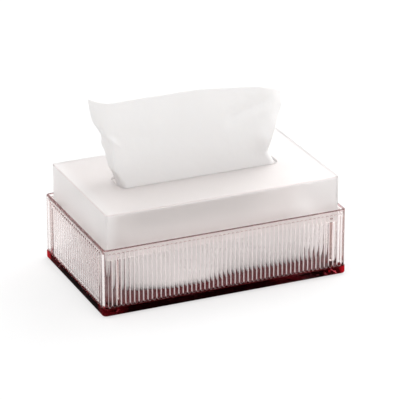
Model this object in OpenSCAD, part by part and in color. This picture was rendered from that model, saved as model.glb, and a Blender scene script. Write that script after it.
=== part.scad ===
// Tissue box: a fluted, open tray of tinted clear plastic and a frosted cover with a slot.
// The cover lifts off its four corner pillars, and a soft pack of tissues lies on the floor.
// Origin: centre of the surface that the box stands on. +Z up, +X along the long front face,
// and the front face looks towards -Y. Sizes in millimetres, angles in degrees.

/* [Tray] */
// Length of the tray over its base band
tray_l = 230; // [210:1:260]
// Width of the tray over its base band
tray_w = 140; // [130:1:160]
// Height of the tray from its underside to its rim
tray_h = 60.7; // [56:0.1:72]
// Wall thickness, measured from the crest of a flute
wall_t = 2.6; // [2:0.1:3.2]
// Thickness of the floor
floor_t = 6.8; // [5:0.1:9]
// Radius of the upright corners
corner_r = 4; // [3.4:0.1:6]
// Height of the plain band round the base
band_h = 7; // [5:0.1:9]
// How far the base band stands out beyond the flute crests
band_proud = 0.6; // [0.2:0.1:1.5]
// Rounding of the lower edge of the base band
band_round = 1.6; // [0.5:0.1:3]
// Height of the plain band under the rim
rim_h = 3.2; // [2:0.1:5]

/* [Flutes] */
// Number of flutes on the front, and as many on the back
front_flutes = 54; // [40:1:60]
// Number of flutes on each end
end_flutes = 29; // [22:1:34]
// How far a flute's crest stands out from the land beside it
flute_h = 0.9; // [0.5:0.1:1.2]
// Flat land between two flutes, and between their ends and the bands
flute_land = 0.3; // [0.2:0.1:0.6]

/* [Corner pillars] */
// Outer radius of a pillar, a quarter tube in each corner of the tray
pillar_r = 12; // [9:0.5:14]
// Wall thickness of a pillar
pillar_t = 2; // [1.5:0.1:3]
// Height of the tips that centre the cover on its pillars
tip_h = 4; // [2:0.5:6]

/* [Cover] */
// Height of the cover's top above the tray's rim
cover_rise = 30.1; // [22:0.1:40]
// How far the cover's skirt reaches below the tray's rim
skirt_dip = 11.6; // [8:0.1:16]
// Open gap between the skirt and the tray's wall
cover_gap = 2.6; // [1.5:0.1:4]
// Wall thickness of the cover
cover_t = 2.2; // [1.6:0.1:3]
// Radius of the cover's upright corners
cover_r = 2.4; // [1.8:0.1:5]
// Rounding of the cover's top edge
cover_round = 0.9; // [0.4:0.1:1.5]
// Length of the slot in the cover
slot_l = 150; // [140:1:160]
// Width of the slot
slot_w = 29; // [24:0.5:36]
// Radius of the slot's corners
slot_r = 7; // [4:0.5:11]

/* [Foot pads] */
// Diameter of a foot pad
pad_d = 10; // [6:0.5:14]
// Thickness of a foot pad
pad_t = 1.5; // [1.2:0.1:2.5]
// How far a pad stands out of its recess
pad_proud = 0.5; // [0.3:0.1:0.9]
// Distance from the tray's sides to a pad's centre
pad_inset = 14; // [10:1:20]

/* [Tissue pack] */
// Length of the pack between its folded ends
pack_l = 188; // [150:1:196]
// Width of the pack
pack_w = 96; // [80:1:110]
// Height of the pack
pack_h = 50.7; // [40:0.1:60]
// Share of the free room beside the pack by which it lies to the right of the middle
pack_shift = 0.39; // [0:0.01:0.5]
// Radius of the pack's corners, seen from above
pack_corner = 15; // [14:0.5:24]
// Rounding of the pack's long and short edges
pack_round = 6.5; // [3:0.5:6.5]
// Thickness of the film
film_t = 0.4; // [0.3:0.05:0.8]
// Length of the opening torn in the film
tear_l = 146; // [140:1:165]
// Width of the opening torn in the film
tear_w = 32; // [29:0.5:50]
// Depth of the hollow that the next sheets leave in the stack
hollow_h = 9; // [7:0.5:14]
// Height of the sealed fin folded flat against each end of the pack
fin_h = 12; // [6:1:20]
// Thickness of that fin
fin_t = 1; // [0.5:0.1:2]

/* [Pulled tissue] */
// Width of the sheet, measured along its folds
sheet_w = 180; // [176:1:186]
// Height of the sheet's top edge above the cover
sheet_rise = 75; // [60:1:90]
// Thickness of the sheet in this model
sheet_t = 0.7; // [0.5:0.1:0.8]
// How far the sheet's lower edge hangs inside the pack
sheet_tail = 5; // [2:0.5:6]
// Room between the sheet's lower edge and the ends of the tear
tail_room = 16; // [10:1:18]
// How far back the sheet's lower edge stands from the slot's front edge
tail_back = 6; // [3:0.5:8]
// How far the sheet's front leans back at its top edge
sheet_lean = 14; // [6:1:20]

/* [Clearances] */
// Clearance between a soft piece and what it lies on
soft_gap = 0.2; // [0.1:0.1:0.3]
// Clearance between the stack of tissues and its film
film_gap = 0.3; // [0.2:0.1:0.5]
// Clearance under the cover's skirt on its pillars
seat_gap = 0.1; // [0.05:0.05:0.2]
// Clearance between the cover and the centring tips
tip_gap = 0.4; // [0.2:0.1:0.8]
// Clearance between a foot pad and its recess
pad_gap = 0.1; // [0.05:0.05:0.3]
// Clearance between the sheet and the edge of the slot
slot_gap = 0.6; // [0.3:0.1:1]

/* [Hidden] */

// Tray, from the ground up
crest_l = tray_l - 2*band_proud;
crest_w = tray_w - 2*band_proud;
inner_l = crest_l - 2*wall_t;
inner_w = crest_w - 2*wall_t;
inner_r = corner_r - wall_t;
floor_z = pad_proud + floor_t;
rim_z = pad_proud + tray_h;
flute_low_z = pad_proud + band_h;
flute_top_z = rim_z - rim_h;

// Cover
cover_l = inner_l - 2*cover_gap;
cover_w = inner_w - 2*cover_gap;
cover_z = rim_z - skirt_dip;
cover_h = skirt_dip + cover_rise;
cover_top_z = cover_z + cover_h;
seat_z = cover_z - seat_gap;

// Pack: its film lies on the floor, and the stack lies in the film
pack_x = pack_shift*(inner_l - pack_l)/2;
film_z = floor_z + soft_gap;
film_top_z = film_z + pack_h;
stack_inset = film_t + film_gap;
stack_top_z = film_top_z - stack_inset;

// Sheet: its lower edge hangs in the pack, and its top edge stands above the cover
sheet_low_z = film_top_z - sheet_tail;
sheet_top_z = cover_top_z + sheet_rise;
sheet_front = -slot_w/2 + slot_gap + sheet_t/2;
sheet_left = -slot_l/2 + slot_gap + sheet_t/2;
tail_left = pack_x - tear_l/2 + tail_room;
tail_right = pack_x + tear_l/2 - tail_room;
sheet_rows = 18;
sheet_columns = 30;

pad_x = tray_l/2 - pad_inset;
pad_y = tray_w/2 - pad_inset;

// Flat outline with round corners
module round_rect(l, w, r) {
  square([l - 2*r, w], center = true);
  square([l, w - 2*r], center = true);
  for (x = [-1, 1], y = [-1, 1])
    translate([x*(l/2 - r), y*(w/2 - r)])
      circle(r, $fn = 64);
}

// Section of a slab whose upper corners are rounded
module round_top_section(w, h, edge) {
  translate([-w/2, 0])
    square([w, h - edge]);
  translate([edge - w/2, 0])
    square([w - 2*edge, h]);
  for (s = [-1, 1])
    translate([s*(w/2 - edge), h - edge])
      circle(edge, $fn = 32);
}

// Slab with round upright corners and a rounded top edge
module slab_round_top(l, w, h, r, edge) {
  rotate([90, 0, 90])
    linear_extrude(l - 2*r, center = true)
      round_top_section(w, h, edge);
  rotate([90, 0, 0])
    linear_extrude(w - 2*r, center = true)
      round_top_section(l, h, edge);
  for (x = [-1, 1], y = [-1, 1])
    translate([x*(l/2 - r), y*(w/2 - r), 0])
      rotate(atan2(y, x) - 45)
        rotate_extrude(angle = 90, $fn = 64)
          intersection() {
            round_top_section(2*r, h, edge);
            square([r, h]);
          }
}

// Block with round upright corners and rounded top and bottom edges
module soft_block(l, w, h, r, edge) {
  for (side = [0, 1])
    mirror([0, 0, side])
      slab_round_top(l, w, h/2, r, edge);
}

// One flute: the outer sector of a capsule, so it is convex across and its ends are half round
module flute(width) {
  r = (width*width/4 + flute_h*flute_h)/(2*flute_h);
  run = flute_top_z - flute_low_z - 2*flute_land - width;
  sector = 2*asin(width/2/r) + 4;
  translate([0, r, flute_low_z + flute_land + width/2])
    rotate(-90 - sector/2)
      rotate_extrude(angle = sector, $fn = 48)
        intersection() {
          union() {
            circle(r, $fn = 48);
            translate([0, run])
              circle(r, $fn = 48);
            square([r, run]);
          }
          translate([0, -r])
            square([r, run + 2*r]);
        }
}

// Two opposite rows of flutes, with their crests on the planes y = -depth/2 and y = depth/2
module flute_rows(side, depth, count) {
  span = side - 2*corner_r;
  pitch = span/count;
  for (turn = [0, 180], i = [0:count - 1])
    rotate(turn)
      translate([-span/2 + (i + 0.5)*pitch, -depth/2, 0])
        flute(pitch - flute_land);
}

// The tray's outside without its flutes
module tray_body() {
  translate([0, 0, flute_low_z])
    mirror([0, 0, 1])
      slab_round_top(tray_l, tray_w, band_h, corner_r, band_round);
  translate([0, 0, flute_low_z])
    linear_extrude(rim_z - flute_low_z)
      round_rect(crest_l - 2*flute_h, crest_w - 2*flute_h, corner_r - flute_h);
  translate([0, 0, flute_top_z])
    linear_extrude(rim_h)
      round_rect(crest_l, crest_w, corner_r);
  for (x = [-1, 1], y = [-1, 1])
    translate([x*(crest_l/2 - corner_r), y*(crest_w/2 - corner_r), flute_low_z])
      cylinder(h = flute_top_z - flute_low_z, r = corner_r, $fn = 64);
}

// Outline of the quarter tubes in the tray's corners, which carry the cover
module pillar_rings() {
  for (x = [-1, 1], y = [-1, 1])
    translate([x*inner_l/2, y*inner_w/2])
      difference() {
        circle(pillar_r, $fn = 64);
        circle(pillar_r - pillar_t, $fn = 64);
      }
}

module tray() {
  color([0.93, 0.72, 0.74, 0.5])
    difference() {
      union() {
        tray_body();
        flute_rows(crest_l, crest_w, front_flutes);
        rotate(90)
          flute_rows(crest_w, crest_l, end_flutes);
      }
      translate([0, 0, floor_z])
        linear_extrude(tray_h)
          difference() {
            round_rect(inner_l, inner_w, inner_r);
            pillar_rings();
          }
      translate([0, 0, seat_z])
        linear_extrude(tray_h)
          round_rect(cover_l + 2*tip_gap, cover_w + 2*tip_gap, cover_r + tip_gap);
      translate([0, 0, seat_z + tip_h])
        linear_extrude(tray_h)
          round_rect(inner_l, inner_w, inner_r);
      for (x = [-1, 1], y = [-1, 1])
        translate([x*pad_x, y*pad_y, -1])
          cylinder(h = 1 + pad_t, r = pad_d/2 + pad_gap, $fn = 48);
    }
}

module cover() {
  color([0.93, 0.91, 0.90, 0.8])
    translate([0, 0, cover_z])
      difference() {
        slab_round_top(cover_l, cover_w, cover_h, cover_r, cover_round);
        translate([0, 0, -1])
          linear_extrude(cover_h - cover_t + 1)
            round_rect(cover_l - 2*cover_t, cover_w - 2*cover_t, max(cover_r - cover_t, 0.2));
        linear_extrude(cover_h + 1)
          round_rect(slot_l, slot_w, slot_r);
      }
}

// Foot pad in the recess of one corner: x and y are -1 or 1
module pad(x, y) {
  color([0.86, 0.86, 0.87, 0.7])
    translate([x*pad_x, y*pad_y, 0])
      rotate_extrude($fn = 48)
        polygon([
          [0, 0], [pad_d/2 - 0.3, 0], [pad_d/2, 0.3], [pad_d/2, pad_t], [0, pad_t]
        ]);
}

module pack_film() {
  color([0.95, 0.95, 0.96, 0.9])
    translate([pack_x, 0, film_z + pack_h/2]) {
      difference() {
        soft_block(pack_l, pack_w, pack_h, pack_corner, pack_round);
        soft_block(pack_l - 2*film_t, pack_w - 2*film_t, pack_h - 2*film_t,
          pack_corner - film_t, pack_round - film_t);
        linear_extrude(pack_h)
          round_rect(tear_l, tear_w, tear_w/2 - 1);
      }
      for (s = [-1, 1])
        translate([s*(pack_l/2 + fin_t/2 - film_t/2), 0, 0])
          cube([fin_t + film_t, pack_w - 3*pack_round, fin_h], center = true);
    }
}

module tissue_stack() {
  color([0.97, 0.96, 0.95])
    translate([pack_x, 0, film_z + pack_h/2])
      difference() {
        soft_block(pack_l - 2*stack_inset, pack_w - 2*stack_inset, pack_h - 2*stack_inset,
          pack_corner - stack_inset, pack_round - stack_inset);
        translate([0, 0, pack_h/2 - stack_inset - hollow_h])
          linear_extrude(pack_h)
            round_rect(tear_l, tear_w, tear_w/2 - 1);
      }
}

// Smooth step from 0 to 1
function ramp(x) = let (c = min(1, max(0, x))) c*c*(3 - 2*c);
// Share of the height above the cover: 0 at its top, 1 at the sheet's top edge
function share(z) = (z - cover_top_z)/sheet_rise;

// The sheet's plan at a height: how far out its right edge stands, where its left crease lies,
// how sharply it turns round that crease, and how far it turns back at its right edge
function right_x(t) = lookup(t, [[-0.5, tail_right], [0, 2 - sheet_left], [0.15, -sheet_left - 5],
  [0.25, -sheet_left - 4], [0.4, 0.5 - sheet_left], [0.65, 8 - sheet_left], [1, 7.5 - sheet_left]]);
function crease_x(t) = lookup(t, [[-0.5, tail_left], [-0.05, sheet_left + 4.2], [0, sheet_left + 4.2],
  [0.2, sheet_left - 3.5], [0.6, sheet_left - 6], [1, sheet_left - 5]]);
function front_y(t) = sheet_front + (t > 0 ? sheet_lean*t : -2*tail_back*t);
function crease_turn(t) = 90 - 34*ramp((t - 0.5)/0.5);
function crease_span(t) = 11 - 6*ramp(t/0.15) + 24*ramp((t - 0.5)/0.3);
function back_turn(t) = 92*(1 - ramp((t - 0.05)/0.4));
function right_turn(t) = 84 - 60*ramp(t/0.3);

// Height of the top edge along the sheet, from its right edge to its left tip
function edge_z(s) = sheet_top_z + lookup(s/sheet_w, [[0, -14.5], [0.05, -9.5], [0.12, -5.5],
  [0.28, -2.7], [0.42, 0], [0.75, 0], [0.9, -0.7], [0.95, 0], [1, 1.2]]);
// Place of a column along the sheet: columns stand closer where the sheet turns
function column_s(i) = sheet_w*lookup(i/sheet_columns, [[0, 0], [0.16, 0.07], [0.56, 0.72], [1, 1]]);

// Direction of the sheet's plan at arc length s from the right edge
function heading(s, t) = let (crease_s = right_x(t) - crease_x(t))
  180 + right_turn(t)*(1 - ramp(s/11))
  - crease_turn(t)*ramp((s - crease_s)/crease_span(t) + 0.3)
  - back_turn(t)*ramp((s - crease_s - slot_w + 14)/9);

// Plan point at arc length s, reached by short steps along the sheet from its left crease
function plan(s, t, steps = 24) = let (
  crease_s = right_x(t) - crease_x(t),
  step = (s - crease_s)/steps,
  turns = [for (k = [0:steps - 1]) heading(crease_s + (k + 0.5)*step, t)]
) [crease_x(t), front_y(t)] + step*[for (a = turns) 1]*[for (a = turns) [cos(a), sin(a)]];

// Middle surface of the sheet at row j and column i
function sheet_point(i, j) = let (
  s = column_s(i),
  z = sheet_low_z + (edge_z(s) - sheet_low_z)*j/sheet_rows,
  p = plan(s, share(z))
) [p[0], p[1], z];

function unit(v) = v/norm(v);
function sheet_normal(grid, i, j) = unit(cross(
  grid[j][min(i + 1, sheet_columns)] - grid[j][max(i - 1, 0)],
  grid[min(j + 1, sheet_rows)][i] - grid[max(j - 1, 0)][i]));

// The sheet is a grid of points, thickened along its normals
module pulled_tissue() {
  grid = [for (j = [0:sheet_rows]) [for (i = [0:sheet_columns]) sheet_point(i, j)]];
  normals = [for (j = [0:sheet_rows]) [for (i = [0:sheet_columns]) sheet_normal(grid, i, j)]];
  across = sheet_columns + 1;
  layer = across*(sheet_rows + 1);
  points = [for (side = [-0.5, 0.5], j = [0:sheet_rows], i = [0:sheet_columns])
    grid[j][i] + side*sheet_t*normals[j][i]];
  faces = [
    for (j = [0:sheet_rows - 1], i = [0:sheet_columns - 1])
      let (a = j*across + i)
        each [[a, a + 1, a + across + 1], [a, a + across + 1, a + across]],
    for (j = [0:sheet_rows - 1], i = [0:sheet_columns - 1])
      let (a = layer + j*across + i)
        each [[a, a + across + 1, a + 1], [a, a + across, a + across + 1]],
    for (i = [0:sheet_columns - 1], j = [0, sheet_rows])
      let (a = j*across + i, b = layer + a)
        each (j == 0 ? [[a, b, b + 1], [a, b + 1, a + 1]] : [[a, b + 1, b], [a, a + 1, b + 1]]),
    for (j = [0:sheet_rows - 1], i = [0, sheet_columns])
      let (a = j*across + i, b = layer + a)
        each (i == 0 ? [[a, a + across, b + across], [a, b + across, b]]
          : [[a, b + across, a + across], [a, b, b + across]])
  ];
  color([0.97, 0.97, 0.96])
    polyhedron(points, faces);
}

tray();
cover();
pad(-1, -1);  // pad_front_left
pad(1, -1);  // pad_front_right
pad(-1, 1);  // pad_back_left
pad(1, 1);  // pad_back_right
pack_film();
tissue_stack();
pulled_tissue();
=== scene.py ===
"""Tissue box: a fluted tray of tinted clear plastic, a frosted cover that lifts off, and a soft
pack of tissues with one sheet drawn up through the cover's slot.

One section for each piece, in the order in which the box is put together. Sizes are in
millimetres, and Skin turns them into metres.
"""

import math

import bmesh
import bpy
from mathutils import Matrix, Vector, noise
from mathutils.geometry import tessellate_polygon


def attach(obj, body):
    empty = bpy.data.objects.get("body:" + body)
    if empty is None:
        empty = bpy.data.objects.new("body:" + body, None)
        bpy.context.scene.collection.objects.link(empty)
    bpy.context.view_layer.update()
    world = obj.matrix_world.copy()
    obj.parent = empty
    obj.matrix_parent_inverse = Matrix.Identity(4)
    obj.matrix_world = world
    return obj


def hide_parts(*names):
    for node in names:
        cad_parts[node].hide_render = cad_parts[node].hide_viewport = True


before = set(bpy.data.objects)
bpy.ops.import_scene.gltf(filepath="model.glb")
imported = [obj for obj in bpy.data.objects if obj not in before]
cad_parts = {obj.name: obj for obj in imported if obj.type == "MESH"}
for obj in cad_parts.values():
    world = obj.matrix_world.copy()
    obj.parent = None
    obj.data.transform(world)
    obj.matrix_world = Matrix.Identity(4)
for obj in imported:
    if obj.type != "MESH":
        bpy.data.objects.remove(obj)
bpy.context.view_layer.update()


# --------------------------------------------------------------------------------------------------
# Foot pads. Four discs of soft clear silicone that keep the box from sliding on a dressing table.
# They are cut from sheet and stuck into shallow recesses under the tray, half a millimetre proud.
# --------------------------------------------------------------------------------------------------


class Skin:
    """The faces of one piece, given by their corner points. Equal points become one vertex.

    Its finish is the number of the material that the faces made next will have.
    """

    WELD = 1e4  # steps per millimetre in which two points count as one

    def __init__(self):
        self.numbers, self.points, self.faces, self.finishes = {}, [], [], []
        self.finish = 0

    def vertex(self, point):
        key = tuple(round(c * self.WELD + 0.237) for c in point)
        if key not in self.numbers:
            self.numbers[key] = len(self.points)
            self.points.append(tuple(c / 1000 for c in point))
        return self.numbers[key]

    def face(self, *corners):
        ring = []
        for n in map(self.vertex, corners):
            if not ring or n not in (ring[-1], ring[0]):
                ring.append(n)
        if len(ring) > 2:
            self.faces.append(ring)
            self.finishes.append(self.finish)

    def band(self, low, high, closed=True):
        """Faces between two rows that have as many points."""
        for i in range(len(low) if closed else len(low) - 1):
            j = (i + 1) % len(low)
            self.face(low[i], low[j], high[j], high[i])

    def rows(self, rows, closed=True):
        for low, high in zip(rows, rows[1:]):
            self.band(low, high, closed)

    def ring(self, outer, inner):
        """Triangles between two loops one inside the other, whatever their numbers of points."""
        start = min(range(len(inner)), key=lambda j: math.dist(inner[j], outer[0]))
        inner = inner[start:] + inner[: start + 1]
        outer = outer + outer[:1]
        i = j = 0
        while i < len(outer) - 1 or j < len(inner) - 1:
            along_outer = i < len(outer) - 1 and (
                j == len(inner) - 1
                or math.dist(outer[i + 1], inner[j]) < math.dist(outer[i], inner[j + 1])
            )
            if along_outer:
                self.face(outer[i], outer[i + 1], inner[j])
                i += 1
            else:
                self.face(outer[i], inner[j + 1], inner[j])
                j += 1

    def holed(self, outer, holes):
        """A flat face with holes."""
        loops = [outer, *holes]
        points = [p for loop in loops for p in loop]
        for corners in tessellate_polygon([[Vector(p) for p in loop] for loop in loops]):
            self.face(*(points[c] for c in corners))

    def piece(self, name, *materials, crease=32):
        """The finished object. Edges that bend by more than crease degrees stay sharp."""
        mesh = bpy.data.meshes.new(name)
        mesh.from_pydata(self.points, [], self.faces)
        for material in materials:
            mesh.materials.append(material)
        mesh.polygons.foreach_set("material_index", self.finishes)
        shape = bmesh.new()
        shape.from_mesh(mesh)
        bmesh.ops.recalc_face_normals(shape, faces=shape.faces)
        shape.to_mesh(mesh)
        shape.free()
        for polygon in mesh.polygons:
            polygon.use_smooth = True
        mesh.set_sharp_from_angle(angle=math.radians(crease))
        made = bpy.data.objects.new(name, mesh)
        bpy.context.collection.objects.link(made)
        return made


def circle(x, y, z, radius, steps=48):
    """A level circle, as points."""
    turns = [2 * math.pi * k / steps for k in range(steps)]
    return [(x + radius * math.cos(a), y + radius * math.sin(a), z) for a in turns]


def plug(tree, value, socket):
    """Set a socket, or link it where the value comes from another node."""
    if isinstance(value, bpy.types.NodeSocket):
        tree.links.new(value, socket)
    else:
        socket.default_value = value


def effect_group(name, inputs, outputs):
    """A node group with these sockets, and the place of a point on the box to work from."""
    group = bpy.data.node_groups.new(name, "ShaderNodeTree")
    for socket, value in inputs.items():
        made = group.interface.new_socket(socket, in_out="INPUT", socket_type="NodeSocketFloat")
        made.default_value = value
    for socket, kind in outputs.items():
        group.interface.new_socket(socket, in_out="OUTPUT", socket_type="NodeSocket" + kind)
    given, result = group.nodes.new("NodeGroupInput"), group.nodes.new("NodeGroupOutput")
    place = group.nodes.new("ShaderNodeTexCoord").outputs["Object"]
    return group, given.outputs, result.inputs, place


def speckle(group, place, scale, detail):
    """Noise over the surface, at a scale that the group is given."""
    texture = group.nodes.new("ShaderNodeTexNoise")
    for socket, value in (("Vector", place), ("Scale", scale), ("Detail", detail)):
        plug(group, value, texture.inputs[socket])
    return texture.outputs["Fac"]


def moulded_surface():
    """Uneven gloss from handling and a faint grain from the mould."""
    group, given, result, place = effect_group(
        "moulded surface",
        {"Patch Scale": 25, "Low Roughness": 0.1, "High Roughness": 0.2, "Grain Scale": 900},
        {"Roughness": "Float", "Height": "Float"},
    )
    spread = group.nodes.new("ShaderNodeMapRange")
    for socket, value in (
        ("Value", speckle(group, place, given["Patch Scale"], 3)),
        ("From Min", 0.3),
        ("From Max", 0.7),
        ("To Min", given["Low Roughness"]),
        ("To Max", given["High Roughness"]),
    ):
        plug(group, value, spread.inputs[socket])
    plug(group, spread.outputs["Result"], result["Roughness"])
    plug(group, speckle(group, place, given["Grain Scale"], 2), result["Height"])
    return group


MOULDED = moulded_surface()


def finish_with(name, group, settings, relief):
    """A new material whose gloss and relief, so many metres deep, come from a node group."""
    material = bpy.data.materials.new(name)
    material.use_nodes = True
    tree = material.node_tree
    shader = tree.nodes["Principled BSDF"]
    effect = tree.nodes.new("ShaderNodeGroup")
    effect.node_tree = group
    for socket, value in settings.items():
        effect.inputs[socket].default_value = value
    bump = tree.nodes.new("ShaderNodeBump")
    bump.inputs["Distance"].default_value = relief
    bump.inputs["Strength"].default_value = 1
    plug(tree, effect.outputs["Height"], bump.inputs["Height"])
    plug(tree, bump.outputs["Normal"], shader.inputs["Normal"])
    plug(tree, effect.outputs["Roughness"], shader.inputs["Roughness"])
    return material, shader, effect


def moulded_finish(name, patches, gloss, grain, relief, clear, ior, colour=None):
    """A moulded plastic or rubber. Gloss is its least and most roughness, clear how much light
    goes through it, and ior how much it bends that light. Its colour may be linked later."""
    settings = {"Patch Scale": patches, "Grain Scale": grain}
    settings["Low Roughness"], settings["High Roughness"] = gloss
    material, shader, _ = finish_with(name, MOULDED, settings, relief)
    shader.inputs["Transmission Weight"].default_value = clear
    shader.inputs["IOR"].default_value = ior
    if colour:
        shader.inputs["Base Color"].default_value = colour
    return material, shader


silicone, _ = moulded_finish(
    "soft clear silicone",
    patches=160,
    gloss=(0.45, 0.7),
    grain=2600,
    relief=0.00008,
    clear=0.4,
    ior=1.41,
    colour=(0.84, 0.83, 0.83, 1),
)

PAD_CENTRES = {
    "front_left": (-101, -56),
    "front_right": (101, -56),
    "back_left": (-101, 56),
    "back_right": (101, 56),
}
PAD_RADIUS, PAD_TOP_Z, PAD_ROUND, PAD_BEVEL = 5.0, 1.46, 0.3, 0.15
PAD_DISH = 0.12  # depth of the shallow dish in a pad's underside

for corner, (x, y) in PAD_CENTRES.items():
    disc = Skin()
    loops = [circle(x, y, PAD_DISH, r) for r in (1.0, 2.5, 3.6)]
    loops.append(circle(x, y, 0, 4.0))
    for step in range(5):
        turn = math.radians(22.5 * step)
        rise, cut_back = PAD_ROUND * (1 - math.cos(turn)), PAD_ROUND * (1 - math.sin(turn))
        loops.append(circle(x, y, rise, PAD_RADIUS - cut_back))
    loops.append(circle(x, y, PAD_TOP_Z - PAD_BEVEL, PAD_RADIUS))
    loops.append(circle(x, y, PAD_TOP_Z, PAD_RADIUS - PAD_BEVEL))
    loops.append(circle(x, y, PAD_TOP_Z, 1.0))
    disc.face(*loops[0])
    disc.rows(loops)
    disc.face(*loops[-1])
    pad = disc.piece("foot_pad_" + corner, silicone)
    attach(pad, "tray")
    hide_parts("pad_" + corner)


# --------------------------------------------------------------------------------------------------
# Tray. One moulding in clear plastic with a rose tint, which deepens to wine red in its thick base.
# Upright flutes with round ends go all the way round, between a rim band and a base band. The rows
# between them stay matt from the mould. Quarter tubes in the corners carry and centre the cover.
# --------------------------------------------------------------------------------------------------

TRAY_LENGTH, TRAY_WIDTH, TRAY_CORNER = 230.0, 140.0, 4.0
TRAY_LOW_Z, BAND_TOP_Z, RIM_LOW_Z, RIM_Z = 0.5, 7.5, 58.0, 61.2
BAND_ROUND, SMALL_ROUND, RIM_ROUND = 1.6, 0.35, 0.4
CREST_LENGTH, CREST_WIDTH = 228.8, 138.8
FRONT_FLUTES, END_FLUTES = 54, 29
FLUTE_DEPTH, FLUTE_LAND = 0.9, 0.3
FLUTE_STEPS, FLUTE_END_STEPS = 8, 5
VALLEY_FROM = 1.4  # beyond this distance from a flute's middle its face is matt
LAST_ROW = 2 * FLUTE_END_STEPS + 3  # rows of the fluted wall go up from 0, at the base band's top
CORNER_STEPS = 8
CLEAR, BASE, VALLEY, HEAD = range(4)  # the tray's finishes, in the order of its materials
WINE, ROSE, PALE = (0.15, 0.008, 0.012, 1), (0.52, 0.28, 0.3, 1), (1.0, 0.994, 0.992, 1)
# The brighter red is painted light, put on the base near its corners.
DEEP_WINE, PAINTED_LIGHT_WINE = (0.004, 0.0003, 0.0004, 1), (0.62, 0.01, 0.02, 1)


def place_along(tree, axis):
    """How far along one of the box's axes a point of the surface lies, in metres."""
    parts = tree.nodes.new("ShaderNodeSeparateXYZ")
    plug(tree, tree.nodes.new("ShaderNodeTexCoord").outputs["Object"], parts.inputs[0])
    return parts.outputs[axis]


def mask(tree, value, start, end, kind="SMOOTHSTEP"):
    """0 to 1, while a value goes from start to end."""
    step = tree.nodes.new("ShaderNodeMapRange")
    step.interpolation_type = kind
    step.inputs["From Min"].default_value = start
    step.inputs["From Max"].default_value = end
    plug(tree, value, step.inputs["Value"])
    return step.outputs["Result"]


def mixed(tree, share, first, second, kind="MIX"):
    """Two colours in one. Each is a colour or a socket."""
    mix = tree.nodes.new("ShaderNodeMix")
    mix.data_type, mix.blend_type = "RGBA", kind
    for number, value in ((0, share), (6, first), (7, second)):
        plug(tree, value, mix.inputs[number])
    return mix.outputs[2]


def let_light_in(material, colour):
    """Lamp light and soft light pass this clear material straight, to reach what lies inside."""
    tree = material.node_tree
    clear, path = tree.nodes.new("ShaderNodeBsdfTransparent"), tree.nodes.new("ShaderNodeLightPath")
    plug(tree, colour, clear.inputs["Color"])
    surface = tree.nodes["Principled BSDF"].outputs[0]
    for ray in ("Is Shadow Ray", "Is Diffuse Ray"):
        either = tree.nodes.new("ShaderNodeMixShader")
        tree.links.new(path.outputs[ray], either.inputs[0])
        tree.links.new(surface, either.inputs[1])
        tree.links.new(clear.outputs[0], either.inputs[2])
        surface = either.outputs[0]
    tree.links.new(surface, tree.nodes["Material Output"].inputs["Surface"])


clear_plastic, shader = moulded_finish(
    "clear rose plastic",
    patches=30,
    gloss=(0.02, 0.06),
    grain=500,
    relief=0.00001,
    clear=1,
    ior=1.42,
)
tree = clear_plastic.node_tree
height = place_along(tree, "Z")
# The wine red of the base fades out above it, and the rim's edge shows the tint again.
wall_to_rim = mixed(tree, mask(tree, height, 0.0607, 0.0611), PALE, ROSE)
base_to_rim = mixed(tree, mask(tree, height, 0.0074, 0.0094), WINE, wall_to_rim)
# Reflections low on the wall are tinted wine red and fade out by 24 mm: painted shade that keeps
# them dark.
reflection_shade = mixed(tree, mask(tree, height, 0.0074, 0.024), WINE, (1, 1, 1, 1))
plug(tree, base_to_rim, shader.inputs["Base Color"])
plug(tree, reflection_shade, shader.inputs["Specular Tint"])
tint = tree.nodes.new("ShaderNodeVolumeAbsorption")
tint.inputs["Color"].default_value = (0.8, 0.4, 0.3, 1)
tint.inputs["Density"].default_value = 16
tree.links.new(tint.outputs["Volume"], tree.nodes["Material Output"].inputs["Volume"])
let_light_in(clear_plastic, base_to_rim)

wine_base, shader = moulded_finish(
    "wine red base with painted light",
    patches=30,
    gloss=(0.04, 0.1),
    grain=500,
    relief=0.00001,
    clear=1,
    ior=1.025,
)
tree = wine_base.node_tree
span, reach = (tree.nodes.new("ShaderNodeVectorMath") for _ in range(2))
span.operation, reach.operation = "ABSOLUTE", "DOT_PRODUCT"
reach.inputs[1].default_value = (2000 / TRAY_LENGTH, 2000 / TRAY_WIDTH, 0)
plug(tree, tree.nodes.new("ShaderNodeTexCoord").outputs["Object"], span.inputs[0])
plug(tree, span.outputs[0], reach.inputs[0])
# The reach is 1 in the middle of a side and 2 at a corner. Near the corners the base is painted a
# brighter red, painted light for light coming in from two sides.
painted_light_share = mask(tree, reach.outputs["Value"], 1.8, 2.0, "LINEAR")
plug(tree, mixed(tree, painted_light_share, DEEP_WINE, PAINTED_LIGHT_WINE), shader.inputs["Base Color"])
# Its reflections are tinted wine red too: painted shade that keeps the base band dark.
shader.inputs["Specular Tint"].default_value = WINE
let_light_in(wine_base, WINE)

matt_valleys, _ = moulded_finish(
    "matt valleys between the flutes",
    patches=60,
    gloss=(0.4, 0.6),
    grain=3000,
    relief=0.00005,
    clear=0.35,
    ior=1.5,
    colour=(0.98, 0.9, 0.9, 1),
)
let_light_in(matt_valleys, (0.9, 0.85, 0.85, 1))

rose_heads, _ = moulded_finish(
    "rose heads of the flutes",
    patches=60,
    gloss=(0.05, 0.1),
    grain=500,
    relief=0.00001,
    clear=0.8,
    ior=1.5,
    colour=(0.55, 0.3, 0.32, 1),
)
let_light_in(rose_heads, (0.8, 0.6, 0.6, 1))


def turned(x, y, quarter):
    """A plan point after a number of quarter turns about the middle of the box."""
    for _ in range(quarter % 4):
        x, y = -y, x
    return x, y


def seen_from(side, length, width):
    """The size along a side and the size across it. Side 0 is the front, and 1 is the right."""
    return (length, width) if side % 2 == 0 else (width, length)


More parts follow.
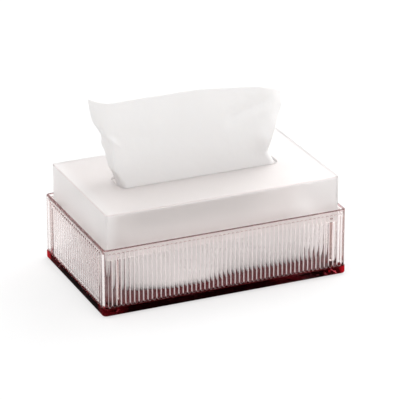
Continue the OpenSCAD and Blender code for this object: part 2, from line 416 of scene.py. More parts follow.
def tray_columns():
    """The upright lines round the tray's outside, anticlockwise from the front left corner.

    Each is (side, x, q, main): x is its place along the side, q its distance from its flute's
    middle, and main says whether the plain bands have a line there too. On a corner, x is None
    and q is the angle.
    """
    columns = []
    for side in range(4):
        count = seen_from(side, FRONT_FLUTES, END_FLUTES)[0]
        length = seen_from(side, CREST_LENGTH, CREST_WIDTH)[0]
        span = length - 2 * TRAY_CORNER
        pitch = span / count
        half, bend = flute_section(pitch)
        reach = math.asin(half / bend)
        columns.append((side, -span / 2, None, True))
        for i in range(count):
            middle = -span / 2 + (i + 0.5) * pitch
            for k in range(FLUTE_STEPS + 1):
                q = bend * math.sin(reach * (2 * k / FLUTE_STEPS - 1))
                columns.append((side, middle + q, q, k == 0))
        columns.append((side, span / 2, None, True))
        for k in range(1, CORNER_STEPS):
            columns.append((side, None, -90 + 90 * k / CORNER_STEPS, True))
    return columns


def flute_section(pitch):
    """Half the width of a flute, and the radius of its face."""
    half = (pitch - FLUTE_LAND) / 2
    return half, (half * half + FLUTE_DEPTH * FLUTE_DEPTH) / (2 * FLUTE_DEPTH)


def plain_point(column, inset, z, proud):
    """Where a column stands on a plain outline round the tray. The base band's is proud."""
    side, x, q, _ = column
    crests = seen_from(side, CREST_LENGTH, CREST_WIDTH)
    length, depth = seen_from(side, TRAY_LENGTH, TRAY_WIDTH) if proud else crests
    radius = TRAY_CORNER - inset
    if x is None:
        a = math.radians(q)
        px = length / 2 - TRAY_CORNER + radius * math.cos(a)
        py = -depth / 2 + TRAY_CORNER + radius * math.sin(a)
    else:
        crest_half = crests[0] / 2 - TRAY_CORNER
        px = x / crest_half * (length / 2 - TRAY_CORNER)
        py = -depth / 2 + inset
    return (*turned(px, py, side), z)


def fluted_point(column, row):
    """Where a column stands on one row of the fluted wall."""
    side, x, q, _ = column
    upper = row > LAST_ROW / 2
    step = LAST_ROW - row if upper else row  # rows from the nearer end
    length, depth = seen_from(side, CREST_LENGTH, CREST_WIDTH)
    count = seen_from(side, FRONT_FLUTES, END_FLUTES)[0]
    half, bend = flute_section((length - 2 * TRAY_CORNER) / count)
    base, toward = (RIM_LOW_Z, -1) if upper else (BAND_TOP_Z, 1)
    centre_z = base + toward * (FLUTE_LAND + half)
    if x is None or q is None:
        z = base if step == 0 else centre_z
        if x is None:
            return plain_point(column, 0, z, proud=False)
        return (*turned(x, -depth / 2, side), z)
    reach = math.sqrt(max(0.0, half * half - q * q))
    rise = reach * math.cos(math.pi / 2 * max(0, step - 1) / FLUTE_END_STEPS)
    z = base if step == 0 else centre_z - toward * rise
    bow = bend - math.sqrt(max(0.0, bend * bend - q * q - rise * rise))
    sunk = FLUTE_DEPTH if step < 2 else bow
    from_corner = length / 2 - TRAY_CORNER - abs(x)
    if from_corner < TRAY_CORNER:
        sunk = min(sunk, TRAY_CORNER - math.sqrt(TRAY_CORNER**2 - from_corner**2))
    return (*turned(x, -depth / 2 + min(sunk, FLUTE_DEPTH), side), z)


def flute_finish(row, *edges):
    """A face's finish between two columns: matt in valleys and at the feet, rose at the heads."""
    off_middle = [abs(q) for _, x, q, _ in edges if x is not None and q is not None]
    valley = len(off_middle) == 2 and min(off_middle) > VALLEY_FROM
    if row in (LAST_ROW - 3, LAST_ROW - 2) and off_middle and not valley:
        return HEAD
    if 0 < row < LAST_ROW - 1 and (valley or (row < 3 and off_middle)):
        return VALLEY
    return CLEAR


def arcs(radius, steps=3):
    """(cut back from the side, cut back from the edge) at the steps of a rounded edge."""
    turns = [math.pi / 2 * k / steps for k in range(steps + 1)]
    return [(radius * (1 - math.sin(a)), radius * (1 - math.cos(a))) for a in turns]


columns = tray_columns()
main_columns = [c for c in columns if c[3]]


def plain_loop(inset, z, proud=False):
    """A plain outline all round the tray."""
    return [plain_point(c, inset, z, proud) for c in main_columns]


tray_skin = Skin()
tray_skin.finish = BASE
base_band = [plain_loop(cut, TRAY_LOW_Z + rise, True) for cut, rise in arcs(BAND_ROUND, 6)]
base_band += [plain_loop(cut, BAND_TOP_Z - drop, True) for cut, drop in reversed(arcs(SMALL_ROUND))]
tray_skin.rows(base_band)
fluted = [[fluted_point(c, row) for c in columns] for row in range(LAST_ROW + 1)]
for row, (low, high) in enumerate(zip(fluted, fluted[1:])):
    for k in range(len(columns)):
        m = (k + 1) % len(columns)
        tray_skin.finish = flute_finish(row, columns[k], columns[m])
        tray_skin.face(low[k], low[m], high[m], high[k])
tray_skin.finish = CLEAR
rim_band = [plain_loop(cut, RIM_LOW_Z + rise) for cut, rise in arcs(SMALL_ROUND)]
rim_band += [plain_loop(cut, RIM_Z - drop) for cut, drop in reversed(arcs(RIM_ROUND))]
tray_skin.rows(rim_band)

marks = [n for n, c in enumerate(columns) if c[3]]
for plain, wall in ((base_band[-1], fluted[0]), (rim_band[0], fluted[-1])):
    for n, start in enumerate(marks):
        m = (n + 1) % len(marks)
        end = marks[m] if m else len(columns)
        wall_line = [wall[k % len(columns)] for k in range(start, end + 1)]
        tray_skin.face(*wall_line, plain[m], plain[n])

RECESS_RADIUS, RECESS_TOP_Z = 5.1, 1.5
recesses = [circle(x, y, TRAY_LOW_Z, RECESS_RADIUS) for x, y in PAD_CENTRES.values()]
tray_skin.holed(base_band[0], recesses)
for low in recesses:
    high = [(x, y, RECESS_TOP_Z) for x, y, _ in low]
    tray_skin.band(low, high)
    tray_skin.face(*high)

# The tray's inside: walls, floor and corner pillars
INNER_LENGTH, INNER_WIDTH, INNER_CORNER = 223.6, 133.6, 1.4
FLOOR_Z, SEAT_Z, TIP_Z = 7.3, 49.5, 53.5
PILLAR_OUTER, PILLAR_INNER, TIP_DEPTH = 12.0, 10.0, 2.2
INNER_CORNER_STEPS, PILLAR_STEPS = 4, 8


def inner_loop(outset, z):
    """The inner wall's outline. The pillars join each side from line 1 to 2 and from 3 to 4."""
    loop = []
    for side in range(4):
        length, depth = seen_from(side, INNER_LENGTH, INNER_WIDTH)
        for x in (
            -length / 2 + INNER_CORNER,
            -length / 2 + PILLAR_INNER,
            -length / 2 + PILLAR_OUTER,
            length / 2 - PILLAR_OUTER,
            length / 2 - PILLAR_INNER,
            length / 2 - INNER_CORNER,
        ):
            loop.append((*turned(x, -depth / 2 - outset, side), z))
        for k in range(1, INNER_CORNER_STEPS):
            a = math.radians(-90 + 90 * k / INNER_CORNER_STEPS)
            x = length / 2 - INNER_CORNER + (INNER_CORNER + outset) * math.cos(a)
            y = -depth / 2 + INNER_CORNER + (INNER_CORNER + outset) * math.sin(a)
            loop.append((*turned(x, y, side), z))
    return loop


def pillar_arc(side, radius, z):
    """A pillar's face in plan, from the wall of that side round to the next wall."""
    length, depth = seen_from(side, INNER_LENGTH, INNER_WIDTH)
    tip = math.degrees(math.asin(TIP_DEPTH / radius))
    between = [tip + (90 - 2 * tip) * k / PILLAR_STEPS for k in range(PILLAR_STEPS + 1)]
    turns = [0.0, *between, 90.0]
    points = []
    for a in map(math.radians, turns):
        x, y = length / 2 - radius * math.cos(a), -depth / 2 + radius * math.sin(a)
        points.append((*turned(x, y, side), z))
    return points


wall_levels = [inner_loop(0, z) for z in (FLOOR_Z, SEAT_Z, TIP_Z)]
per_side = len(wall_levels[0]) // 4
for low, high in zip(wall_levels, wall_levels[1:]):
    for n in range(len(low)):
        if n % per_side not in (1, 3):
            m = (n + 1) % len(low)
            tray_skin.face(low[n], low[m], high[m], high[n])
lip = [inner_loop(0, TIP_Z)]
lip += [inner_loop(cut, RIM_Z - drop) for cut, drop in reversed(arcs(RIM_ROUND))]
tray_skin.rows(lip)
tray_skin.ring(rim_band[-1], lip[-1])

cavity_floor = []
for side in range(4):
    wall = inner_loop(0, FLOOR_Z)[side * per_side : (side + 1) * per_side]
    following = inner_loop(0, FLOOR_Z)[(side + 1) % 4 * per_side :][:2]
    arc = {
        (r, z): pillar_arc(side, r, z)
        for r in (PILLAR_OUTER, PILLAR_INNER)
        for z in (FLOOR_Z, SEAT_Z, TIP_Z)
    }
    cavity_floor += [wall[2], *arc[PILLAR_OUTER, FLOOR_Z][:-1]]
    tray_skin.face(*wall[4:], *following, *reversed(arc[PILLAR_INNER, FLOOR_Z][1:-1]))
    for r in (PILLAR_OUTER, PILLAR_INNER):
        tray_skin.band(arc[r, FLOOR_Z], arc[r, SEAT_Z], closed=False)
        for end in (slice(0, 2), slice(-2, None)):
            tray_skin.band(arc[r, SEAT_Z][end], arc[r, TIP_Z][end], closed=False)
    inner, outer = (arc[r, SEAT_Z] for r in (PILLAR_INNER, PILLAR_OUTER))
    tray_skin.band(inner[1:-1], outer[1:-1], closed=False)
    for end in (slice(0, 2), slice(-2, None)):
        tray_skin.band(arc[PILLAR_INNER, TIP_Z][end], arc[PILLAR_OUTER, TIP_Z][end], closed=False)
    for k in (1, -2):
        tray_skin.face(
            arc[PILLAR_INNER, SEAT_Z][k],
            arc[PILLAR_OUTER, SEAT_Z][k],
            arc[PILLAR_OUTER, TIP_Z][k],
            arc[PILLAR_INNER, TIP_Z][k],
        )
tray_skin.face(*cavity_floor)

tray = tray_skin.piece("fluted_tray", clear_plastic, wine_base, matt_valleys, rose_heads)
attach(tray, "tray")
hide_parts("tray")


# --------------------------------------------------------------------------------------------------
# Stack of tissues. Folded sheets of soft white paper, interleaved so that each draws up the next.
# They are pressed into the pack's shape, with a hollow under the tear where sheets were taken.
# --------------------------------------------------------------------------------------------------

PACK_X, PACK_LENGTH, PACK_WIDTH, PACK_LOW_Z, PACK_TOP_Z = 6.942, 188.0, 96.0, 7.5, 58.2
PACK_CORNER, PACK_ROUND = 15.0, 6.5
TEAR_LENGTH, TEAR_WIDTH, TEAR_CORNER = 146.0, 32.0, 15.0
STACK_INSET, HOLLOW_DEPTH = 0.75, 9.0
# The pack sags forward near its base: how far, about which x, and its reach along and up.
SLACK, SLACK_X, SLACK_REACH, SLACK_HEIGHT = 8.0, -29.0, 34.0, 14.0
FOLD_RISE, FOLD_Y, FOLD_REACH, FOLD_HALF_LENGTH = 4.5, 3.0, 4.0, 52.0  # next sheet, in the hollow


def round_outline(length, width, corner, long_steps=48, short_steps=24, corner_steps=10):
    """Plan points of a rounded rectangle, always as many, and in the same order round it."""
    points = []
    for side in range(4):
        l, w = seen_from(side, length, width)
        steps = seen_from(side, long_steps, short_steps)[0]
        half = l / 2 - corner
        for k in range(steps):
            points.append(turned(-half + 2 * half * k / steps, -w / 2, side))
        for k in range(corner_steps):
            a = math.radians(-90 + 90 * k / corner_steps)
            x, y = half + corner * math.cos(a), -w / 2 + corner + corner * math.sin(a)
            points.append(turned(x, y, side))
    return points


def soft_loops(inset, tear_inset):
    """Loops of a soft rounded block from the middle of its base up to the edge of its tear."""
    loops = []
    base, top = PACK_LOW_Z + inset, PACK_TOP_Z - inset
    length, width = PACK_LENGTH - 2 * inset, PACK_WIDTH - 2 * inset
    corner, edge = PACK_CORNER - inset, PACK_ROUND - inset

    def loop(shrink, z, blend=0.0):
        l, w, r = length - 2 * shrink, width - 2 * shrink, corner - shrink
        slack = SLACK * (1 - blend) * math.exp(-(((z - PACK_LOW_Z) / SLACK_HEIGHT) ** 2))
        l += (TEAR_LENGTH - 2 * tear_inset - l) * blend
        w += (TEAR_WIDTH - 2 * tear_inset - w) * blend
        r += (TEAR_CORNER - tear_inset - r) * blend
        points = []
        for x, y in round_outline(l, w, max(r, 0.5)):
            front = min(1.0, max(0.0, -2 * y / w))
            sag = slack * front**3 * math.exp(-(((x + PACK_X - SLACK_X) / SLACK_REACH) ** 4))
            points.append((PACK_X + x, y - sag, z))
        return points

    for blend in (1.0, 0.75, 0.5, 0.25):
        loops.append(loop(edge, base, blend))
    for side_cut, edge_cut in arcs(edge, 6):
        loops.append(loop(side_cut, base + edge_cut))
    for k in range(1, 14):
        loops.append(loop(0, base + edge + (top - base - 2 * edge) * k / 14))
    for side_cut, edge_cut in reversed(arcs(edge, 6)):
        loops.append(loop(side_cut, top - edge_cut))
    for blend in (0.2, 0.4, 0.6, 0.8, 0.92, 1.0):
        loops.append(loop(edge, top, blend))
    return loops


def worked_out(tree, operation, a, b):
    """The sum, product or larger of two values or sockets."""
    node = tree.nodes.new("ShaderNodeMath")
    node.operation = operation
    for number, value in enumerate((a, b)):
        plug(tree, value, node.inputs[number])
    return node.outputs[0]


def paper_surface():
    """Soft crinkles, a felt of fine fibres and a slight unevenness of tone."""
    group, given, result, place = effect_group(
        "paper surface",
        {"Crinkle Scale": 120, "Fibre Scale": 1500, "Layer Scale": 0, "Layer Share": 0},
        {"Tone": "Color", "Roughness": "Float", "Height": "Float"},
    )
    crinkle = speckle(group, place, given["Crinkle Scale"], 3)
    fibre = speckle(group, place, given["Fibre Scale"], 4)
    layers = group.nodes.new("ShaderNodeTexWave")
    layers.bands_direction = "Z"
    for socket, value in (
        ("Vector", place),
        ("Scale", given["Layer Scale"]),
        ("Distortion", 1.5),
        ("Detail", 2),
    ):
        plug(group, value, layers.inputs[socket])
    layered = worked_out(group, "MULTIPLY", layers.outputs["Fac"], given["Layer Share"])
    coarse = worked_out(group, "ADD", crinkle, layered)
    relief = worked_out(group, "ADD", worked_out(group, "MULTIPLY", fibre, 0.25), coarse)
    tone = group.nodes.new("ShaderNodeMapRange")
    for socket, value in (("Value", fibre), ("To Min", 0.955), ("To Max", 1.0)):
        plug(group, value, tone.inputs[socket])
    shade = group.nodes.new("ShaderNodeCombineColor")
    for channel in ("Red", "Green", "Blue"):
        plug(group, tone.outputs["Result"], shade.inputs[channel])
    matt = worked_out(group, "ADD", worked_out(group, "MULTIPLY", crinkle, 0.08), 0.86)
    plug(group, shade.outputs["Color"], result["Tone"])
    plug(group, matt, result["Roughness"])
    plug(group, relief, result["Height"])
    return group


PAPER = paper_surface()


def paper_finish(name, colour, settings, relief):
    """A tissue paper of this colour."""
    material, shader, effect = finish_with(name, PAPER, settings, relief)
    toned = mixed(material.node_tree, 1, colour, effect.outputs["Tone"], "MULTIPLY")
    plug(material.node_tree, toned, shader.inputs["Base Color"])
    shader.inputs["Specular IOR Level"].default_value = 0.15
    return material, shader


stacked_paper, _ = paper_finish(
    "folded tissue paper",
    (0.93, 0.92, 0.915, 1),
    {"Crinkle Scale": 90, "Fibre Scale": 1500, "Layer Scale": 320, "Layer Share": 0.7},
    0.0003,
)

stack_skin = Skin()
stack_loops = soft_loops(STACK_INSET, 0.0)
stack_skin.face(*stack_loops[0])
stack_skin.rows(stack_loops)
hollow_top = PACK_TOP_Z - STACK_INSET


def hollow_point(x, y, sink):
    """A point in the hollow. Sink goes from 0 at the tear's edge to 1 at its floor."""
    fold = math.exp(-(((y - FOLD_Y) / FOLD_REACH) ** 2)) * math.exp(-((x / FOLD_HALF_LENGTH) ** 4))
    rise = FOLD_RISE * fold * max(0.0, 2 * sink - 1)
    return (PACK_X + x, y, hollow_top - HOLLOW_DEPTH * sink + rise)


HOLLOW_SLOPE = ((0.3, 0.3), (0.8, 0.65), (1.8, 0.9), (3.2, 1), (6, 1), (9, 1), (12, 1), (14.5, 1))
hollow_rows = [stack_loops[-1]]
for shrink, sink in HOLLOW_SLOPE:
    length, width = TEAR_LENGTH - 2 * shrink, TEAR_WIDTH - 2 * shrink
    outline = round_outline(length, width, max(0.4, TEAR_CORNER - shrink))
    hollow_rows.append([hollow_point(x, y, sink) for x, y in outline])
stack_skin.rows(hollow_rows)
stack_skin.face(*hollow_rows[-1])
stack = stack_skin.piece("tissue_stack_folded", stacked_paper)
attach(stack, "tray")
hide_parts("tissue_stack")


# --------------------------------------------------------------------------------------------------
# Film of the pack. A bag of thin milky film, shrunk loosely round the stack and torn open along the
# top. Its two ends are gathered, sealed in a crimped fin and folded flat against the pack.
# --------------------------------------------------------------------------------------------------

FILM_THICKNESS = 0.3
FIN_WIDTH, FIN_HEIGHT, FIN_THICKNESS = 76.0, 12.0, 0.75
FIN_CRIMPS, FIN_ROWS, CRIMP_DEPTH = 38, 4, 0.12

milky_film, _ = moulded_finish(
    "milky film",
    patches=60,
    gloss=(0.22, 0.4),
    grain=260,
    relief=0.0002,
    clear=0.25,
    ior=1.3,
    colour=(0.97, 0.96, 0.955, 1),
)
let_light_in(milky_film, (0.85, 0.85, 0.85, 1))


def film_point(point):
    """The film's wrinkles: shallow all over, deeper and upright near the gathered ends."""
    x, y, z = point
    toward_end = min(1.0, max(0.0, (abs(x - PACK_X) - 55) / 38))
    broad = noise.noise(Vector((x / 16, y / 13, z / 11)))
    fine = noise.noise(Vector((x / 5 + 7, y / 4, z / 6)))
    depth = 0.16 + 0.14 * broad + (0.1 + 0.18 * toward_end) * (0.5 + fine)
    out = Vector((x - PACK_X, y * 1.6, (z - 31) * 2.2)).normalized()
    return tuple(Vector(point) - out * max(0.0, depth))


film_skin = Skin()
film_loops = [[film_point(p) for p in loop] for loop in soft_loops(0.05, -0.5)]
film_skin.face(*film_loops[0])
film_skin.rows(film_loops)
film = film_skin.piece("pack_film_torn", milky_film)
wall = film.modifiers.new("film thickness", "SOLIDIFY")
wall.thickness = FILM_THICKNESS / 1000
wall.offset = -1
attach(film, "tray")
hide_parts("pack_film")


def fin_sheet(side, lift):
    """One face of a fin, as rows of points. The outer one, lifted, is crimped."""
    inner_x = PACK_X + side * (PACK_LENGTH / 2 + 0.05)
    rows = []
    for j in range(FIN_ROWS + 1):
        z = (PACK_LOW_Z + PACK_TOP_Z) / 2 + FIN_HEIGHT * (j / FIN_ROWS - 0.5)
        row = []
        for k in range(4 * FIN_CRIMPS + 1):
            y = FIN_WIDTH * (k / (4 * FIN_CRIMPS) - 0.5)
            crimp = CRIMP_DEPTH * math.sin(math.pi * k / 2) if 0 < j < FIN_ROWS else 0.0
            row.append((inner_x + side * (lift * FIN_THICKNESS + crimp * lift), y, z))
        rows.append(row)
    return rows


def border(rows):
    """The points once round the edge of a sheet."""
    return rows[0] + [r[-1] for r in rows[1:-1]] + rows[-1][::-1] + [r[0] for r in rows[-2:0:-1]]


for side, name in ((-1, "left"), (1, "right")):
    fin = Skin()
    sheets = [fin_sheet(side, lift) for lift in (0.0, 1.0)]
    for rows in sheets:
        fin.rows(rows, closed=False)
    fin.band(*map(border, sheets))
    seal = fin.piece("pack_fin_" + name, milky_film)
    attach(seal, "tray")


# --------------------------------------------------------------------------------------------------
# Cover. A frosted shell moulded in translucent plastic that stands on the tray's pillars and dips
# into the tray. A long slot with round corners lets the tissues through. Painted shade darkens its
# rounded edges, the slot's edge and the part where the pack stands behind it. It lifts straight
# off.
# --------------------------------------------------------------------------------------------------

COVER_LENGTH, COVER_WIDTH, COVER_CORNER = 218.4, 128.4, 2.4
COVER_LOW_Z, COVER_TOP_Z, COVER_WALL = 49.6, 91.3, 2.2
COVER_ROUND, COVER_LIP_ROUND, COVER_FILLET, SLOT_ROUND = 0.9, 0.4, 1.0, 0.45
INSIDE_CORNER = 3.4
SLOT_LENGTH, SLOT_WIDTH, SLOT_CORNER = 150.0, 29.0, 7.0

# The second and third finishes carry painted shade: darker lines along the cover's rounded edges
# and round the slot.
FROSTED, ROUNDED_SHADE, SLOT_SHADE = range(3)  # the cover's finishes, in the order of its materials
FROST = {
    "patches": 18,
    "gloss": (0.38, 0.46),
    "grain": 1400,
    "relief": 0.00006,
    "clear": 0.72,
    "ior": 1.3,
}
FROSTED_LIGHT = (0.82, 0.8, 0.795, 1)
MILK, PAINTED_SHADE_MILK = (0.99, 0.975, 0.968, 1), (0.865, 0.83, 0.818, 1)
# Where painted shade greys the cover, in metres: along each axis, from where it begins to where it
# is full.
PAINTED_SHADE_FROM = (
    ("X", -0.106, -0.096),
    ("X", 0.082, 0.056),
    ("Z", 0.055, 0.064),
    ("Z", 0.0965, 0.0865),
)

frosted, shader = moulded_finish("frosted plastic with painted shade", **FROST)
tree = frosted.node_tree
# Painted shade: the base colour turns greyer wherever the pack stands behind the cover.
painted_shade = 1
for axis, start, full in PAINTED_SHADE_FROM:
    painted_shade = worked_out(tree, "MULTIPLY", mask(tree, place_along(tree, axis), start, full), painted_shade)
plug(tree, mixed(tree, painted_shade, MILK, PAINTED_SHADE_MILK), shader.inputs["Base Color"])
let_light_in(frosted, FROSTED_LIGHT)

# The rounded outer edges are painted darker: a painted shade line along each edge.
shaded_round_edge, _ = moulded_finish("rounded edge of the cover, painted shade", **FROST, colour=(0.86, 0.79, 0.785, 1))
let_light_in(shaded_round_edge, FROSTED_LIGHT)

# The slot's edge is painted grey: painted shade where the tissue goes down into the dark slot.
shaded_slot_edge, _ = moulded_finish(
    "edge of the slot",
    patches=60,
    gloss=(0.4, 0.5),
    grain=1400,
    relief=0.00004,
    clear=0.2,
    ior=1.45,
    colour=(0.68, 0.65, 0.65, 1),
)


def cover_side(inset, z, corner=COVER_CORNER):
    """The cover's outline, set in from its outside."""
    length, width = COVER_LENGTH - 2 * inset, COVER_WIDTH - 2 * inset
    return [(x, y, z) for x, y in round_outline(length, width, max(0.15, corner - inset))]


def slot_side(outset, z):
    """The slot's outline, set out from its narrowest."""
    length, width = SLOT_LENGTH + 2 * outset, SLOT_WIDTH + 2 * outset
    return [(x, y, z) for x, y in round_outline(length, width, SLOT_CORNER + outset)]


ceiling_z = COVER_TOP_Z - COVER_WALL
outside = [cover_side(cut, COVER_LOW_Z + rise) for cut, rise in arcs(COVER_LIP_ROUND)]
edge = [cover_side(cut, COVER_TOP_Z - drop) for cut, drop in reversed(arcs(COVER_ROUND, 5))]
slot = [slot_side(cut, COVER_TOP_Z - drop) for drop, cut in reversed(arcs(SLOT_ROUND, 4))]
slot += [slot_side(cut, ceiling_z + rise) for cut, rise in arcs(SLOT_ROUND, 4)]
inside = [
    cover_side(COVER_WALL + cut, ceiling_z - drop, INSIDE_CORNER)
    for cut, drop in arcs(COVER_FILLET, 4)
]
inside += [
    cover_side(COVER_WALL - cut, COVER_LOW_Z + rise, INSIDE_CORNER)
    for cut, rise in reversed(arcs(COVER_LIP_ROUND))
]
cover_skin = Skin()
cover_skin.finish = FROSTED
cover_skin.rows([slot[-1], *inside, *outside, edge[0]])
cover_skin.band(edge[-1], slot[0])
cover_skin.finish = ROUNDED_SHADE
cover_skin.rows(edge)
cover_skin.finish = SLOT_SHADE
cover_skin.rows(slot)
cover = cover_skin.piece("frosted_cover", frosted, shaded_round_edge, shaded_slot_edge)
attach(cover, "cover")
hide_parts("cover")


# --------------------------------------------------------------------------------------------------
# Sheet of tissue. Soft white paper, drawn up through the slot and left standing: its front stands
# nearly flat, and its left side is folded back. It is softly creased at the upper right and on the
# left, its top right corner is turned back, and its lower edge is still in the pack.
# --------------------------------------------------------------------------------------------------

SHEET_WIDTH, SHEET_RISE, SHEET_LEAN = 180.0, 75.0, 14.0
SHEET_LOW_Z, SHEET_TOP_Z = 49.6, COVER_TOP_Z + SHEET_RISE
SHEET_FRONT, SHEET_LEFT, SHEET_SLOT = -13.55, -74.05, 29.0
SHEET_THICKNESS = 0.35
SHEET_COLUMNS, SHEET_ROWS, SHEET_STEPS = 150, 100, 40


def lookup(x, table):
    """The value at x on straight lines between the table's points."""
    for (x0, y0), (x1, y1) in zip(table, table[1:]):
        if x <= x1:
            return y0 + (y1 - y0) * max(0.0, x - x0) / (x1 - x0)
    return table[-1][1]


def ramp(x):
    """0 to 1, softly, while x goes from 0 to 1."""
    c = min(1.0, max(0.0, x))
    return c * c * (3 - 2 * c)


def right_x(t):
    """Where the right edge stands. Here and below, t is 0 at the cover and 1 at the top edge."""
    outs = [(-0.5, -10.11), (0, 2), (0.15, -5), (0.25, -4), (0.4, 0.5), (0.65, 8), (1, 7.5)]
    return -SHEET_LEFT + lookup(t, outs)


def crease_x(t):
    """Where the upright crease stands, at which the left side folds back."""
    outs = [(-0.5, 23.99), (-0.05, 4.2), (0, 4.2), (0.2, -3.5), (0.6, -6), (1, -5)]
    return SHEET_LEFT + lookup(t, outs)


def edge_z(s):
    """Height of the top edge along the sheet, from its right edge to its left tip."""
    drops = [(0, -14.5), (0.05, -9.5), (0.12, -5.5), (0.28, -2.7), (0.42, 0)]
    drops += [(0.75, 0), (0.9, -0.7), (0.95, 0), (1, 1.2)]
    return SHEET_TOP_Z + lookup(s / SHEET_WIDTH, drops)


def heading(s, t):
    """Direction of the sheet in plan, in degrees, at a length s from its right edge."""
    crease_s = right_x(t) - crease_x(t)
    crease_turn = 90 - 34 * ramp((t - 0.5) / 0.5)
    crease_span = 11 - 6 * ramp(t / 0.15) + 24 * ramp((t - 0.5) / 0.3)
    back_turn = 92 * (1 - ramp((t - 0.05) / 0.4))
    right_turn = 84 - 60 * ramp(t / 0.3)
    return (
        180
        + right_turn * (1 - ramp(s / 11))
        - crease_turn * ramp((s - crease_s) / crease_span + 0.3)
        - back_turn * ramp((s - crease_s - SHEET_SLOT + 14) / 9)
    )


def sheet_plan(s, t):
    """A point of the sheet seen from above, reached by small steps from the crease."""
    crease_s = right_x(t) - crease_x(t)
    step = (s - crease_s) / SHEET_STEPS
    x, y = crease_x(t), SHEET_FRONT + (SHEET_LEAN * t if t > 0 else -12 * t)
    for k in range(SHEET_STEPS):
        a = math.radians(heading(crease_s + (k + 0.5) * step, t))
        x, y = x + step * math.cos(a), y + step * math.sin(a)
    return x, y


def sheet_point(i, j):
    """A point of the sheet, by its column and row, with its waves and creases in it."""
    s = SHEET_WIDTH * i / SHEET_COLUMNS
    z = SHEET_LOW_Z + (edge_z(s) - SHEET_LOW_Z) * j / SHEET_ROWS
    x, y = sheet_plan(s, (z - COVER_TOP_Z) / SHEET_RISE)
    free = ramp((z - COVER_TOP_Z) / 12)  # the slot and the pack hold the sheet below the cover
    wave = 0.7 * noise.noise(Vector((s / 34, z / 60, 3.1)))
    wave += 0.25 * noise.noise(Vector((s / 11, z / 17, 8.4)))
    off_fold = z - 137.3 - 0.28 * (x - 31.4)  # a soft slanting fold on the upper right
    wave += 2.2 * math.exp(-((off_fold / 5.5) ** 2)) * ramp((x - 22) / 14) * ramp((76 - x) / 12)
    wave -= 1.9 * math.exp(-(((x - 62) / 7) ** 2) - ((z - 115) / 9) ** 2)  # a bulge below it
    off_fold = z - 132.6 + 0.84 * (x + 79)  # a short crease, from the left edge to the upright one
    wave -= 1.2 * math.exp(-((off_fold / 2.6) ** 2)) * ramp((x + 95) / 6) * ramp((-70 - x) / 8)
    back = ramp((x - 65) / 16) * ramp((z - 122) / 14)  # the top right corner is turned back
    return (x + 2.6 * back, y + free * (wave + 4.5 * back), z)


sheet_paper, shader = paper_finish(
    "soft tissue paper",
    (0.95, 0.93, 0.92, 1),
    {"Crinkle Scale": 70, "Fibre Scale": 1800},
    0.0006,
)
shader.inputs["Subsurface Weight"].default_value = 0.3
shader.inputs["Subsurface Radius"].default_value = (1, 0.95, 0.9)
shader.inputs["Subsurface Scale"].default_value = 0.0006

sheet_skin = Skin()
sheet_skin.rows(
    [[sheet_point(i, j) for i in range(SHEET_COLUMNS + 1)] for j in range(SHEET_ROWS + 1)],
    closed=False,
)
sheet = sheet_skin.piece("standing_tissue", sheet_paper, crease=180)
ply = sheet.modifiers.new("paper thickness", "SOLIDIFY")
ply.thickness = SHEET_THICKNESS / 1000
ply.offset = 0
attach(sheet, "sheet")
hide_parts("pulled_tissue")


# --------------------------------------------------------------------------------------------------
# Studio. A pale table top, a bright surround, three large soft lamps and a long lens from the left.
# The table and the surround show white to the camera and in reflections, and light less than that.
# --------------------------------------------------------------------------------------------------

CAMERA_PLACE = Vector((-0.853260, -1.962153, 0.969292))
CAMERA_TARGET = Vector((0.005003, 0.0, 0.061759))
LENS_MM, SENSOR_MM = 237.81, 36.0


def seen_directly(tree):
    """1 for rays that show the background: seen directly, reflected or through clear plastic."""
    path = tree.nodes.new("ShaderNodeLightPath")
    total = path.outputs["Is Camera Ray"]
    for name in ("Is Glossy Ray", "Is Transmission Ray"):
        total = worked_out(tree, "MAXIMUM", total, path.outputs[name])
    return total


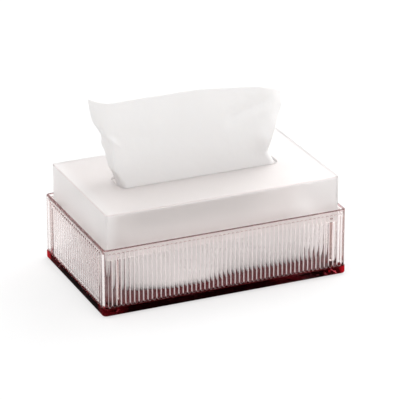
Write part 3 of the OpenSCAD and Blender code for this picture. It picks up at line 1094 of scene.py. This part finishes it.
bpy.ops.mesh.primitive_plane_add(size=8, location=(0, 0, 0))
table = bpy.context.object
table.name = "table_top"
white_table = bpy.data.materials.new("white table")
white_table.use_nodes = True
tree = white_table.node_tree
shader = tree.nodes["Principled BSDF"]
shader.inputs["Base Color"].default_value = (0.82, 0.82, 0.82, 1)
shader.inputs["Roughness"].default_value = 0.9
glow, blend = tree.nodes.new("ShaderNodeEmission"), tree.nodes.new("ShaderNodeMixShader")
glow.inputs["Strength"].default_value = 1.0
tree.links.new(worked_out(tree, "MULTIPLY", seen_directly(tree), 0.6), blend.inputs[0])
tree.links.new(shader.outputs[0], blend.inputs[1])
tree.links.new(glow.outputs[0], blend.inputs[2])
tree.links.new(blend.outputs[0], tree.nodes["Material Output"].inputs["Surface"])
table.data.materials.append(white_table)

world = bpy.data.worlds.new("studio")
bpy.context.scene.world = world
world.use_nodes = True
tree = world.node_tree
strength = tree.nodes.new("ShaderNodeMapRange")
for socket, value in (("Value", seen_directly(tree)), ("To Min", 0.72), ("To Max", 1.0)):
    plug(tree, value, strength.inputs[socket])
plug(tree, strength.outputs["Result"], tree.nodes["Background"].inputs["Strength"])
tree.nodes["Background"].inputs["Color"].default_value = (1, 1, 1, 1)

for name, place, size, power in (
    ("soft lamp right", (1.2, 0.5, 1.3), 1.2, 20),
    ("soft lamp above", (-0.4, 0.5, 1.9), 1.2, 13),
    ("soft lamp front", (0.7, -1.2, 0.8), 0.9, 3),
):
    lamp = bpy.data.lights.new(name, "AREA")
    lamp.size, lamp.energy = size, power
    stand = bpy.data.objects.new(name, lamp)
    stand.location = place
    stand.rotation_euler = (-Vector(place)).to_track_quat("-Z", "Y").to_euler()
    bpy.context.collection.objects.link(stand)

lens = bpy.data.cameras.new("camera")
lens.lens, lens.sensor_width = LENS_MM, SENSOR_MM
lens.clip_start, lens.clip_end = 0.1, 50
camera = bpy.data.objects.new("camera", lens)
camera.location = CAMERA_PLACE
camera.rotation_mode = "QUATERNION"
camera.rotation_quaternion = (CAMERA_TARGET - CAMERA_PLACE).to_track_quat("-Z", "Y")
bpy.context.collection.objects.link(camera)
bpy.context.scene.camera = camera
bpy.context.scene.view_settings.view_transform = "Standard"
cycles = bpy.context.scene.cycles  # light passes many faces of clear plastic here
cycles.max_bounces, cycles.transmission_bounces, cycles.glossy_bounces = 32, 24, 16
cycles.transparent_max_bounces = 32
